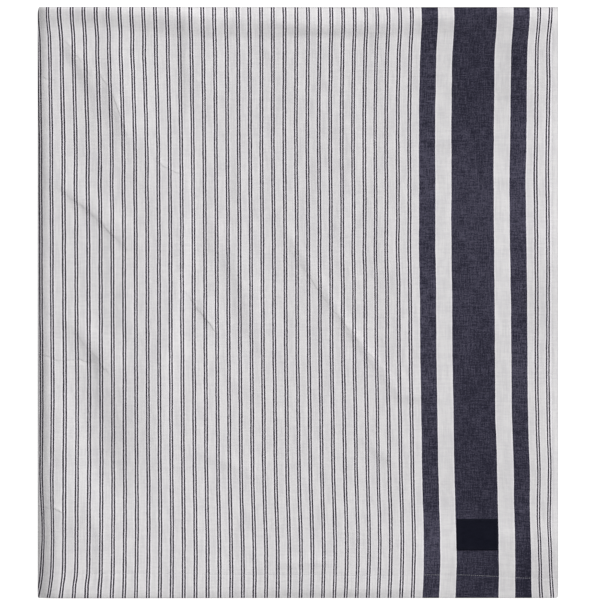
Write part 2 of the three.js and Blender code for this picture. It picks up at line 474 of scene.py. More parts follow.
def waves(x, y):
    total = np.zeros_like(x)
    for train in WAVE_TRAINS:
        ahead = x * math.cos(train["heading"]) + y * math.sin(train["heading"])
        total += train["height"] * np.sin(2 * math.pi * ahead / train["length"] + train["phase"])
    return total


def patches(rows, x, y, column, total=0.0):
    """A total to which soft patches are added, each with its middle, half sizes and one value."""
    for row in rows:
        across = (x - row["x"]) / row["across"]
        along = (y - row["y"]) / row["along"]
        total = total + row[column] * np.exp(-across**2 - along**2)
    return total


def beside_line(x, y, line):
    """The distance from a line of several points, which is positive on the side that faces the lamp,
    and the share of the way along it."""
    corners = np.array(line, float)
    lengths = np.hypot(*np.diff(corners, axis=0).T)
    passed = np.concatenate([[0], np.cumsum(lengths)])
    apart = np.full(x.shape, FAR_APART)
    share = np.zeros(x.shape)
    for index, length in enumerate(lengths):
        start = corners[index]
        step = (corners[index + 1] - start) / length
        ahead = np.clip((x - start[0]) * step[0] + (y - start[1]) * step[1], 0, length)
        off_x = x - start[0] - ahead * step[0]
        off_y = y - start[1] - ahead * step[1]
        side = np.sign(step[0] * off_y - step[1] * off_x)
        closer = np.hypot(off_x, off_y) < np.abs(apart)
        apart = np.where(closer, np.hypot(off_x, off_y) * side, apart)
        share = np.where(closer, (passed[index] + ahead) / passed[-1], share)
    return apart, share


def top_ply_relief(x, y):
    """How far the top ply stands over the stack's swell: its hills, creases and waves."""
    total = waves(x, y) + patches(HILLS, x, y, "height")
    for crease in CREASES:
        apart, share = beside_line(x, y, crease["line"])
        fade = smooth(share / CREASE_END) * smooth((1 - share) / CREASE_END)
        width = np.where(apart > 0, crease["lit"], crease["shaded"])
        total += crease["height"] * fade * np.exp(-((apart / width) ** 2))
    from_edge = np.minimum(FOLDED_WIDTH / 2 - np.abs(x), FOLDED_LENGTH / 2 - np.abs(y))
    return total * smooth(from_edge / RELIEF_EDGE)


def fine_creases(x, y):
    """The distance from the nearest fine crease, as above, and its height beside each place."""
    nearest = np.full(x.shape, FINE_REACH)
    height = np.zeros_like(x)
    for crease in FINE_CREASES:
        apart, share = beside_line(x, y, crease["line"])
        closer = np.abs(apart) < np.abs(nearest)
        fade = smooth(share / FINE_END) * smooth((1 - share) / FINE_END)
        fade = fade * smooth((FINE_REACH - np.abs(apart)) / FINE_REACH_FADE)
        nearest = np.where(closer, apart, nearest)
        height = np.where(closer, crease["height"] * fade, height)
    return nearest, height


# The end hem's seam line runs a little slantwise: its distance from the end by place across the cloth.
HEM_SEAM_WIDTH = 1.3
HEM_SEAM_DEPTH = 0.2
SEAM_INSET = 1
HEM_RISE = 0.07
HEM_SEAM = table(
    "x width",
    (-376, 36.0),
    (-250, 36.7),
    (-170, 36.6),
    (-110, 35.5),
    (0, 35.2),
    (119, 33.4),
    (182, 34.5),
    (229, 34.6),
    (289, 32.6),
    (325, 29.9),
    (376, 28.6),
)
SIDE_SEAM = 8.6
HEM_EDGE_SLOPE = 1


def corner_inset(distance, radius):
    """How far a rounded corner's edge lies inside, by distance from the end of the sheet."""
    short = radius - np.clip(distance, 0, radius)
    return radius - np.sqrt(radius**2 - short**2)


def cloth_grid():
    """The middle surface of the folded cloth as a grid of points, its outward normals, and the place
    of each point in the flat cloth."""
    rows = folded_rows()
    edge_share, turned = ply_columns()
    third = rows["third"]
    from_end = np.minimum(rows["along"], CLOTH_LENGTH - rows["along"])
    fold_x = -FOLDED_WIDTH / 2 + by_third(third, "fold_inset") + FOLD_PRESS * HALF_THIRD
    edge_x = FOLDED_WIDTH / 2 - by_third(third, "edge_inset") - EDGE_ROUND
    edge_x = edge_x - BACK_PLY_INSET * (turned > math.pi / 2)
    x = fold_x + (edge_x - fold_x) * edge_share - FOLD_PRESS * PLY_MIDDLE * np.sin(turned)
    rounded = corner_inset(from_end, FOLD_CORNER_RADIUS) * (1 - edge_share)
    rounded = rounded - corner_inset(from_end, OPEN_CORNER_RADIUS) * edge_share
    near_head = np.clip(1 - (FOLDED_LENGTH / 2 - rows["left"]) / HEAD_CORNER_LENGTH, 0, 1)
    rounded = rounded + HEAD_CORNER_INSET * near_head**2 * (1 - edge_share)
    x = x + rounded
    height = PLY_MIDDLE * np.cos(turned)
    along_x = x / FOLDED_WIDTH + 0.5
    y = rows["left"] + (rows["right"] - rows["left"]) * along_x

    # The rows of the end hem that shows follow its slanting seam.
    seam = from_table(HEM_SEAM, "x", x, "width") - END_HEM_WIDTH
    from_end = y + FOLDED_LENGTH / 2
    in_hem = np.minimum(from_end / END_HEM_WIDTH, 1)
    past_hem = np.clip((FOLDED_LENGTH - from_end) / (FOLDED_LENGTH - END_HEM_WIDTH), 0, 1)
    y = y + seam * in_hem * past_hem * (third == 0)

    y = y + rows["up_y"] * height
    z = rows["z"] + rows["up_z"] * height
    face_part = (1 + np.cos(turned)) / 2
    face_lift = by_third(third, "face_lift")
    back_lift = by_third(third, "back_lift")
    lift = back_lift + (face_lift - back_lift) * face_part
    relief = top_ply_relief(x, y) * smooth(1 - 2 * third)
    z = z + lift * stack_swell(x, y) + face_part * relief
    z = z + (1 - face_part) * BACK_PLY_FOLLOWS * np.minimum(relief, 0)
    points = np.stack([x, y, z], axis=2)

    normals = unit(np.cross(np.gradient(points, axis=0), np.gradient(points, axis=1)))
    return points, normals, rows["along"], edge_share, turned, third, rounded


# Large soft patches painted lighter or darker on the top of the cloth, most of all in the navy: their
# middle, their half size across and along, and how much they lighten it. They are in part the cloth's own
# uneven tone and in part painted light and shade, standing in for slopes that the relief does not carry,
# such as the painted shade of the lower right corner. The cloth also has painted shade on all its rounded
# edges, close to the edges of its top and along the head fold.
SHADE_AND_TONE_PATCHES = table(
    "x y across along lighter",
    (292, 350, 110, 80, -0.045),
    (300, 150, 112, 95, 0.039),
    (357, 241, 28, 28, 0.055),
    (357, 101, 28, 35, 0.03),
    (357, -4, 35, 55, -0.06),
    (286, -109, 45, 50, -0.035),
    (320, -95, 18, 45, 0.05),
    (275, -262, 100, 55, -0.055),
    (191, -336, 36, 55, 0.06),
    (300, -400, 60, 45, -0.05),
    (211, -396, 20, 14, -0.05),
    (368, -393, 40, 48, -0.15),
)
# Painted shade: on every rounded edge of the sheets and along the head fold, and fading out within a few
# millimetres of the edges of the top.
PAINTED_EDGE_SHADE = -0.35
PAINTED_NEAR_EDGE_SHADE = -0.17
NEAR_EDGE = 1.7
NEAR_EDGE_START = 1.3
HEAD_SHADE_RISE = 10

# How far the stripes stand off their straight lines, because the cloth was pulled as it was folded:
# a steady part by distance from the side edge, and pulls to one side about a few places.
STEADY_PULL = table(
    "from_side sideways",
    (0, 0.0),
    (213, 0.1),
    (247, 0.4),
    (278, 2.5),
    (310, 3.5),
    (393, 4.5),
    (509, 6.0),
    (609, 6.6),
    (650, 6.4),
    (695, 4.6),
    (731, 2.7),
    (745, 3.8),
)
PULLS = table(
    "x y across along sideways",
    (-270, 450, 210, 62, -5.6),
    (-260, 340, 150, 80, -3.2),
    (420, 440, 170, 45, 4.2),
    (90, 235, 340, 115, -1.8),
    (60, 330, 120, 60, -0.6),
    (100, -345, 230, 95, 4.9),
    (110, -190, 260, 90, 1.7),
    (390, -440, 120, 150, 4.6),
    (-70, -440, 120, 110, 2.8),
    (-400, -445, 110, 32, -8.5),
    (-360, -130, 120, 110, 1.3),
    (370, -290, 35, 90, -1.8),
    (190, 90, 110, 70, -1.1),
    (-360, 412, 34, 24, -1.7),
    (-250, 360, 70, 24, -1.0),
    (-60, 400, 190, 50, -0.9),
    (-374, -325, 20, 60, 4.4),
    (200, 405, 180, 32, 2.4),
    (290, -300, 90, 120, 1.4),
    (260, -430, 90, 60, 1.6),
    (-220, -290, 130, 80, 0.9),
    (368, 315, 20, 60, 1.2),
    (360, -428, 35, 14, 1.2),
    (374, -370, 20, 50, -1.7),
    (345, -240, 45, 40, 1.5),
    (313, 110, 25, 80, -1.6),
    (0, -430, 110, 70, 1.0),
    (-60, -120, 140, 110, 0.5),
    (120, 350, 110, 45, 0.6),
    (-366, -280, 25, 60, -1.3),
    (-285, 414, 60, 22, -1.1),
    (-318, -408, 28, 12, -1.4),
    (105, 75, 75, 30, -0.8),
    (100, -60, 110, 90, -0.4),
    (330, 190, 60, 40, -0.6),
    (215, -375, 35, 45, 0.9),
    (362, -110, 25, 70, -0.8),
    (-300, 168, 80, 24, -0.7),
    (362, -318, 20, 26, -1.3),
    (364, 372, 20, 30, -1.0),
    (320, 168, 18, 26, -0.9),
    (288, -150, 22, 36, -0.8),
)


def stripe_shift(x, y):
    from_side = FOLDED_WIDTH / 2 - x
    steady = from_table(STEADY_PULL, "from_side", from_side, "sideways")
    return patches(PULLS, x, y, "sideways", steady)


def mesh_piece(name, vertices, faces):
    """A smooth mesh object, from places in millimetres."""
    mesh = bpy.data.meshes.new(name)
    mesh.from_pydata((vertices * MILLIMETRE).tolist(), [], faces)
    mesh.polygons.foreach_set("use_smooth", [True] * len(mesh.polygons))
    piece = bpy.data.objects.new(name, mesh)
    bpy.context.scene.collection.objects.link(piece)
    return piece


RIM_TURNS = (math.pi / 4, 0, -math.pi / 4)
INNER_RING = len(RIM_TURNS) + 1


def thick_cloth(name, points, normals, outer, inner, inner_rows, inner_columns):
    """A closed mesh of a sheet: its outer surface on the whole grid, its inner surface on chosen rows
    and columns, and a rounded edge between them. Also gives the row, the column and the ring of each
    vertex, from 0 on the outer surface to INNER_RING, and the side that each face is on."""
    row_count, column_count = points.shape[:2]
    last_row = row_count - 1
    last_column = column_count - 1
    vertices = [(points + normals * outer[..., None]).reshape(-1, 3)]
    grid_row, grid_column = np.divmod(np.arange(row_count * column_count), column_count)
    places_in_grid = [np.stack([grid_row, grid_column, np.zeros_like(grid_row)], axis=1)]
    grid = np.arange(row_count * column_count).reshape(row_count, column_count)
    faces = np.stack([grid[:-1, :-1], grid[1:, :-1], grid[1:, 1:], grid[:-1, 1:]], axis=2)
    faces = faces.reshape(-1, 4).tolist()
    sides = ["outer"] * len(faces)

    # The edge of the sheet, once round.
    rim = [(0, column) for column in range(column_count)]
    rim += [(row, last_column) for row in range(1, row_count)]
    rim += [(last_row, column) for column in range(last_column - 1, -1, -1)]
    rim += [(row, 0) for row in range(last_row - 1, 0, -1)]
    rim = np.array(rim)
    rim_row, rim_column = rim.T
    ahead = unit(np.gradient(points, axis=0)[rim_row, rim_column])
    aside = unit(np.gradient(points, axis=1)[rim_row, rim_column])
    outward = ahead * ((rim_row == last_row) * 1.0 - (rim_row == 0))[:, None]
    outward = unit(outward + aside * ((rim_column == last_column) * 1.0 - (rim_column == 0))[:, None])
    upper = outer[rim_row, rim_column][:, None]
    lower = inner[rim_row, rim_column][:, None]
    previous = grid[rim_row, rim_column]
    count = len(vertices[0])
    for ring_number, turn in enumerate(RIM_TURNS, 1):
        half = (upper + lower) / 2
        height = (upper - lower) / 2 + half * math.sin(turn)
        ring = points[rim_row, rim_column] + normals[rim_row, rim_column] * height
        vertices.append(ring + outward * EDGE_PRESS * half * math.cos(turn))
        places_in_grid.append(np.column_stack([rim, np.full(len(rim), ring_number)]))
        ring_index = count + np.arange(len(rim))
        count += len(rim)
        belt = [previous, np.roll(previous, -1), np.roll(ring_index, -1), ring_index]
        faces += np.stack(belt, axis=1).tolist()
        sides += ["rim"] * len(rim)
        previous = ring_index

    # The inner surface, and the belt that joins its wider cells to the rounded edge.
    picked = np.ix_(inner_rows, inner_columns)
    below = points[picked] - normals[picked] * inner[picked][..., None]
    vertices.append(below.reshape(-1, 3))
    inner_places = list(np.meshgrid(inner_rows, inner_columns, indexing="ij"))
    inner_places.append(np.full_like(inner_places[0], INNER_RING))
    places_in_grid.append(np.stack([part.ravel() for part in inner_places], axis=1))
    inner_grid = count + np.arange(below.shape[0] * below.shape[1])
    inner_grid = inner_grid.reshape(below.shape[:2])
    cells = [inner_grid[:-1, :-1], inner_grid[:-1, 1:], inner_grid[1:, 1:], inner_grid[1:, :-1]]
    inner_faces = np.stack(cells, axis=2).reshape(-1, 4).tolist()
    faces += inner_faces
    sides += ["inner"] * len(inner_faces)
    row_at = {row: index for index, row in enumerate(inner_rows)}
    column_at = {column: index for index, column in enumerate(inner_columns)}
    joints = [
        (index, inner_grid[row_at[row], column_at[column]])
        for index, (row, column) in enumerate(rim.tolist())
        if row in row_at and column in column_at
    ]
    joints.append((len(rim), joints[0][1]))
    for (first, first_inner), (second, second_inner) in zip(joints, joints[1:]):
        edge = [previous[index % len(rim)] for index in range(first, second + 1)]
        faces.append([int(index) for index in edge + [second_inner, first_inner]])
        sides.append("rim")

    piece = mesh_piece(name, np.concatenate(vertices), faces)
    return piece, np.concatenate(places_in_grid), sides


def lay_map(piece, name, corner_places):
    layer = piece.data.uv_layers.new(name=name)
    layer.data.foreach_set("uv", corner_places.astype(np.float32).ravel())


points, normals, along, edge_share, turned, third, rounded = cloth_grid()
x, y = points[..., 0], points[..., 1]
on_face = turned < math.pi / 2
ply_length = FOLDED_WIDTH - THIRDS[0]["fold_inset"] - FOLD_PRESS * HALF_THIRD
ring_length = math.pi * PLY_MIDDLE
back_length = CLOTH_WIDTH - ply_length - ring_length
face_across = ply_length * (1 - edge_share) + PLY_MIDDLE * turned
across = np.where(turned == math.pi, ply_length + ring_length + back_length * edge_share, face_across)
across = across + np.zeros_like(x)
along = along + np.zeros_like(x)
from_side = np.minimum(across, CLOTH_WIDTH - across)
from_end = np.minimum(along, CLOTH_LENGTH - along)
fade = np.where(on_face, 1, 1 - edge_share) * smooth(1 - third)
flat_across = across
across = across + fade * stripe_shift(x, y) - rounded * np.cos(turned)

# A hem is thicker on the cloth's wrong side, and its seam draws a groove into the right side.
end_seam = np.exp(-(((from_end - END_HEM_WIDTH + SEAM_INSET) / HEM_SEAM_WIDTH) ** 2))
side_seam = np.exp(-(((from_side - SIDE_SEAM) / HEM_SEAM_WIDTH) ** 2))
in_end_hem = 1 - smooth(from_end - END_HEM_WIDTH + HEM_EDGE_SLOPE)
in_side_hem = 1 - smooth(from_side - SIDE_HEM_WIDTH + HEM_EDGE_SLOPE)
in_hem = np.maximum(in_end_hem, in_side_hem)
seam = np.maximum(end_seam, side_seam)
outer = PLY_THICKNESS / 2 + HEM_RISE * in_hem * (third < 1) - HEM_SEAM_DEPTH * seam
inner = PLY_THICKNESS / 2 + HEM_EXTRA * in_hem

# The inner surface hardly shows. Under the face ply of the top third it has only every few rows and
# columns, but all of them at hems and folds, and also in the other plies, which are coarse already.
INNER_STEP = 6
HEM_ROWS_REACH = 3
HEM_COLUMNS_REACH = 13
KEPT_ROWS_AT_FOLD = 2
KEPT_COLUMNS_AT_FOLD = 8
row_count, column_count = x.shape
ring_middle = int(np.argmin(np.abs(turned[0] - math.pi / 2)))


def thinned(count, step, kept):
    chosen = set(range(0, count, step)) | {0, count - 1} | set(kept)
    return sorted(chosen)


top_rows = int((third[:, 0] == 0).sum())
hem_rows = [row for row in range(row_count) if from_end[row, 0] < END_HEM_WIDTH + HEM_ROWS_REACH]
turn_rows = list(range(top_rows - KEPT_ROWS_AT_FOLD, row_count))
side_distance = from_side[top_rows // 2]
hem_columns = [column for column in range(column_count) if side_distance[column] < HEM_COLUMNS_REACH]
ring_columns = list(range(ring_middle - KEPT_COLUMNS_AT_FOLD, column_count))
inner_rows = thinned(row_count, INNER_STEP, hem_rows + turn_rows)
inner_columns = thinned(column_count, INNER_STEP, hem_columns + ring_columns)
tablecloth, grid_places, sides = thick_cloth(
    "folded_tablecloth", points, normals, outer, inner, inner_rows, inner_columns
)

mesh = tablecloth.data
corner_vertex = np.zeros(len(mesh.loops), int)
mesh.loops.foreach_get("vertex_index", corner_vertex)
corner_row, corner_column, corner_ring = grid_places[corner_vertex].T
flat = np.stack([across[corner_row, corner_column], along[corner_row, corner_column]], axis=1)
lay_map(tablecloth, "cloth", flat * MILLIMETRE)
# Painted light and shade kept in the tone attribute: the soft patches, painted shade close to the edges
# of the top, along the head fold and on every rounded edge, with some of the cloth's own uneven tone.
near_edge = np.minimum(FOLDED_WIDTH / 2 - x, FOLDED_LENGTH / 2 - np.abs(y))
at_very_edge = smooth(NEAR_EDGE_START - near_edge / NEAR_EDGE)
shown_shade_and_tone = patches(SHADE_AND_TONE_PATCHES, x, y, "lighter") + PAINTED_NEAR_EDGE_SHADE * at_very_edge
shown_shade_and_tone = shown_shade_and_tone * on_face * smooth(1 - 2 * third)
# Painted shade along the head fold, and on the rounded edges below.
shown_shade_and_tone = shown_shade_and_tone + PAINTED_EDGE_SHADE * np.clip(third * HEAD_SHADE_RISE, 0, 1) * (third < 1)
on_edge = (grid_places[:, 2] > 0) & (grid_places[:, 2] < INNER_RING)
vertex_shade_and_tone = shown_shade_and_tone[grid_places[:, 0], grid_places[:, 1]] * (grid_places[:, 2] < INNER_RING)
vertex_shade_and_tone = np.where(on_edge, PAINTED_EDGE_SHADE, vertex_shade_and_tone)
fine_side, fine_height = fine_creases(x, y)
fine_height = fine_height * on_face * (third == 0)
fine_side = fine_side[grid_places[:, 0], grid_places[:, 1]]
fine_height = fine_height[grid_places[:, 0], grid_places[:, 1]] * (grid_places[:, 2] == 0)
vertex_values = {"shade_and_tone": vertex_shade_and_tone, "fine_side": fine_side, "fine_height": fine_height}
for value_name, values in vertex_values.items():
    attribute = mesh.attributes.new(value_name, "FLOAT", "POINT")
    attribute.data.foreach_set("value", values.astype(np.float32))

# A second map, for pictures of the cloth that are baked. Each ply's right side and wrong side has a
# strip of it, as wide as the map, and the top third, which shows, has most of the height. Sizes are in
# steps of a map of 1024.
BAKE_SIDE = 1024
BAKE_MARGIN = 6
BAKE_RING_STEP = 0.7
CROSS_FOLD_MIDDLES = [0.5, 1.5]
BAKE_STRIPS = table(
    "side ply start top middle bottom",
    ("outer", "face", 6, 764, 32, 32),
    ("outer", "back", 840, 21, 21, 98),
    ("inner", "face", 986, 6, 3, 3),
    ("inner", "back", 1004, 6, 3, 3),
)

face_sizes = [len(face.vertices) for face in mesh.polygons]
corner_side = np.repeat([side == "inner" for side in sides], face_sizes)
face_starts = np.concatenate([[0], np.cumsum(face_sizes)[:-1]])
first_column = np.minimum.reduceat(corner_column, face_starts)
corner_back = np.repeat(first_column >= ring_middle, face_sizes)
row_along = along[:, 0]
third_ends = [row_along[0], *row_along[np.isin(third[:, 0], CROSS_FOLD_MIDDLES)], row_along[-1]]
ply_ends = [flat_across[0, 0], flat_across[0, ring_middle], flat_across[0, -1]]
outward_u = (corner_column == column_count - 1) * 1 - (corner_column == 0) * 1
outward_v = (corner_row == row_count - 1) * 1 - (corner_row == 0) * 1
bake = np.zeros((len(mesh.loops), 2))
for strip in BAKE_STRIPS:
    back = strip["ply"] == "back"
    chosen = (corner_side == (strip["side"] == "inner")) & (corner_back == back)
    beyond = corner_ring[chosen] * BAKE_RING_STEP * (strip["side"] == "outer")
    ends = ply_ends[1:] if back else ply_ends[:2]
    widths = [BAKE_MARGIN, BAKE_SIDE - BAKE_MARGIN]
    u = np.interp(flat_across[corner_row, corner_column][chosen], ends, widths)
    heights = np.cumsum([strip["start"], strip["top"], strip["middle"], strip["bottom"]])
    v = np.interp(along[corner_row, corner_column][chosen], third_ends, heights)
    bake[chosen, 0] = u + beyond * outward_u[chosen]
    bake[chosen, 1] = v + beyond * outward_v[chosen]
lay_map(tablecloth, "OFBake", bake / BAKE_SIDE)

shaped = bmesh.new()
shaped.from_mesh(mesh)
bmesh.ops.recalc_face_normals(shaped, faces=shaped.faces)
shaped.to_mesh(mesh)
shaped.free()
mesh.update()

# The stripes, by distance from the nearer side edge: bands of navy yarn and pairs of thin navy lines.
BANDS = table(
    "name centre width",
    ("outer band", 56.3, 23.5),
    ("wide band", 122.2, 61.4),
    ("inner band", 187.6, 23.6),
)
MARGIN_PAIRS = {"first": 14.7, "pitch": 16.4, "start": 6.0, "end": 42.0}
FIELD_PAIRS = {"first": 213.4, "pitch": 16.769, "start": 204.0, "end": CLOTH_WIDTH}
LINE_OFFSET = 1.71
LINE_WIDTH = 2.28
BRIGHT_REACH = 2.7
YARN_EDGE = 0.14
WHITE_YARN = (0.645, 0.634, 0.637, 1)
WHITE_YARN_SHADE = (0.563, 0.552, 0.565, 1)
BRIGHT_YARN = (0.862, 0.830, 0.885, 1)
NAVY_YARN = (0.008, 0.0075, 0.0195, 1)
NAVY_YARN_LIGHT = (0.093, 0.087, 0.128, 1)
# How strongly the navy takes the tone attribute, which is painted light and shade in part.
NAVY_SHADE_AND_TONE = 2.2
LINE_YARN = (0.017, 0.014, 0.022, 1)
WARP_YARN = 0.00052
WEFT_YARN = 0.00058
NOISE_SHIFT_ACROSS = 3.7
NOISE_SHIFT_ALONG = 1.9
NOISE_ROUGHNESS = 0.55
NOISE_MEAN = 0.5


def add_node(tree, kind, **settings):
    node = tree.nodes.new(kind)
    for key, value in settings.items():
        setattr(node, key, value)
    return node


def plug(tree, node, socket, value):
    if isinstance(value, bpy.types.NodeSocket):
        tree.links.new(value, node.inputs[socket])
    else:
        node.inputs[socket].default_value = value


def new_material(name):
    material = bpy.data.materials.new(name)
    material.use_nodes = True
    return material, material.node_tree, material.node_tree.nodes["Principled BSDF"]


def work_out(tree, operation, *values):
    node = add_node(tree, "ShaderNodeMath", operation=operation)
    for index, value in enumerate(values):
        plug(tree, node, index, value)
    return node.outputs[0]


def between(tree, value, low, high, to_low=0.0, to_high=1.0):
    node = add_node(tree, "ShaderNodeMapRange", interpolation_type="SMOOTHSTEP")
    for index, item in enumerate((value, low, high, to_low, to_high)):
        plug(tree, node, index, item)
    return node.outputs[0]


def uneven(tree, place, across_size, along_size, detail, seed):
    """Noise whose grains have the given size across and along the cloth, in metres."""
    stretch = add_node(tree, "ShaderNodeMapping")
    plug(tree, stretch, "Vector", place)
    plug(tree, stretch, "Scale", (1 / across_size, 1 / along_size, 1))
    plug(tree, stretch, "Location", (seed * NOISE_SHIFT_ACROSS, seed * NOISE_SHIFT_ALONG, 0))
    noise = add_node(tree, "ShaderNodeTexNoise", noise_dimensions="2D")
    plug(tree, noise, "Vector", stretch.outputs[0])
    plug(tree, noise, "Scale", 1.0)
    plug(tree, noise, "Detail", detail)
    plug(tree, noise, "Roughness", NOISE_ROUGHNESS)
    return noise.outputs[0]


def weighted(tree, values, weights, total=0.0):
    """A total to which values are added, each times the weight under its name."""
    for name, weight in weights.items():
        total = work_out(tree, "MULTIPLY_ADD", values[name], weight, total)
    return total


def bump(tree, height, distance, strength, under=None):
    node = add_node(tree, "ShaderNodeBump")
    plug(tree, node, "Height", height)
    plug(tree, node, "Distance", distance)
    plug(tree, node, "Strength", strength)
    if under is not None:
        plug(tree, node, "Normal", under)
    return node.outputs[0]


def mixed(tree, share, first, second):
    node = add_node(tree, "ShaderNodeMix", data_type="RGBA")
    plug(tree, node, 0, share)
    plug(tree, node, 6, first)
    plug(tree, node, 7, second)
    return node.outputs[2]


def line_mask(tree, distance, half_width):
    """1 inside a stripe and 0 outside, with an edge as soft as a yarn."""
    half_width = half_width * MILLIMETRE
    soft = YARN_EDGE * MILLIMETRE
    return between(tree, distance, half_width - soft, half_width + soft, 1.0, 0.0)


def either(tree, first, second):
    return second if first is None else work_out(tree, "MAXIMUM", first, second)


def pair_masks(tree, from_side, pairs):
    """One group of pairs of thin lines: the lines, the white between the two lines of a pair, and the
    white on both sides of a line."""
    half = pairs["pitch"] * MILLIMETRE / 2
    shifted = work_out(tree, "SUBTRACT", from_side, pairs["first"] * MILLIMETRE)
    off_pair = work_out(tree, "ABSOLUTE", work_out(tree, "WRAP", shifted, half, -half))
    off_line = work_out(tree, "SUBTRACT", off_pair, LINE_OFFSET * MILLIMETRE)
    off_line = work_out(tree, "ABSOLUTE", off_line)
    after = work_out(tree, "GREATER_THAN", from_side, pairs["start"] * MILLIMETRE)
    before = work_out(tree, "LESS_THAN", from_side, pairs["end"] * MILLIMETRE)
    inside = work_out(tree, "MULTIPLY", after, before)
    line = work_out(tree, "MULTIPLY", inside, line_mask(tree, off_line, LINE_WIDTH / 2))
    between_lines = work_out(tree, "MULTIPLY", inside, line_mask(tree, off_pair, LINE_OFFSET))
    beside = work_out(tree, "MULTIPLY", inside, line_mask(tree, off_line, BRIGHT_REACH))
    return line, between_lines, beside


def band_masks(tree, from_side, band):
    """A navy band, and the white close beside it."""
    off_band = work_out(tree, "SUBTRACT", from_side, band["centre"] * MILLIMETRE)
    off_band = work_out(tree, "ABSOLUTE", off_band)
    beside_reach = band["width"] / 2 + BRIGHT_REACH - LINE_WIDTH / 2
    return line_mask(tree, off_band, band["width"] / 2), line_mask(tree, off_band, beside_reach)


# The noises of the cloth, by the size of their grains in metres, and how much each one adds to the
# unevenness of the white yarn and of the navy yarn, whose single threads show as long fine flecks.
CLOTH_NOISES = table(
    "name across along detail seed",
    ("wander", 0.012, 0.035, 2, 1),
    ("ragged", 0.0012, 0.0016, 1, 2),
    ("warp_streaks", 0.0012, 0.030, 2, 3),
    ("weft_streaks", 0.010, 0.0013, 2, 4),
    ("weft_bars", 0.120, 0.0030, 1, 10),
    ("specks", 0.0019, 0.0017, 1, 5),
    ("flat_flecks", 0.015, 0.0014, 1, 12),
    ("upright_flecks", 0.0014, 0.018, 1, 6),
    ("clouds", 0.020, 0.032, 3, 7),
    ("broad_clouds", 0.120, 0.090, 2, 11),
    ("shaken", 0.007, 0.007, 1, 8),
    ("soft_creases", 0.008, 0.026, 3, 9),
)
STRIPE_UNEVENNESS = {"wander": 0.0010, "ragged": 0.0005}
WHITE_GRAIN = {"weft_streaks": 0.7, "weft_bars": 0.5, "clouds": 0.8}
# The navy also takes the tone attribute, painted light and shade in part, more strongly than the white
# does.
NAVY_GRAIN = {
    "specks": 1.0, "upright_flecks": 0.75, "flat_flecks": 0.7, "weft_bars": 0.3, "clouds": 0.35,
    "broad_clouds": 0.2, "shade_and_tone": NAVY_SHADE_AND_TONE,
}

# Each range is two values of a noise, and where there are four, what the first two are turned into.
WHITE_RANGE = (1.15, 1.85)
NAVY_RANGE = (1.22, 2.38)
LINE_RANGE = (0.35, 0.75, 1.0, 0.9)
FINE_CREASE_RANGE = (0.35, 0.65, 0.5, 1.4)
ROUGHNESS_RANGE = (1.0, 2.0, 0.82, 0.95)
BRIGHT_BESIDE_LINES = 0.42
WIDE_BAND_LIGHTNESS = -0.19
WARP_SHAKE = 5.0
WEFT_SHAKE = 4.0
SLUB_HEIGHT = 1.2
WEAVE_DEPTH = 0.00005
WEAVE_STRENGTH = 0.6
SOFT_CREASE_DEPTH = 0.0006
SOFT_CREASE_STRENGTH = 0.45
FINE_CREASE_WANDER = 6.0


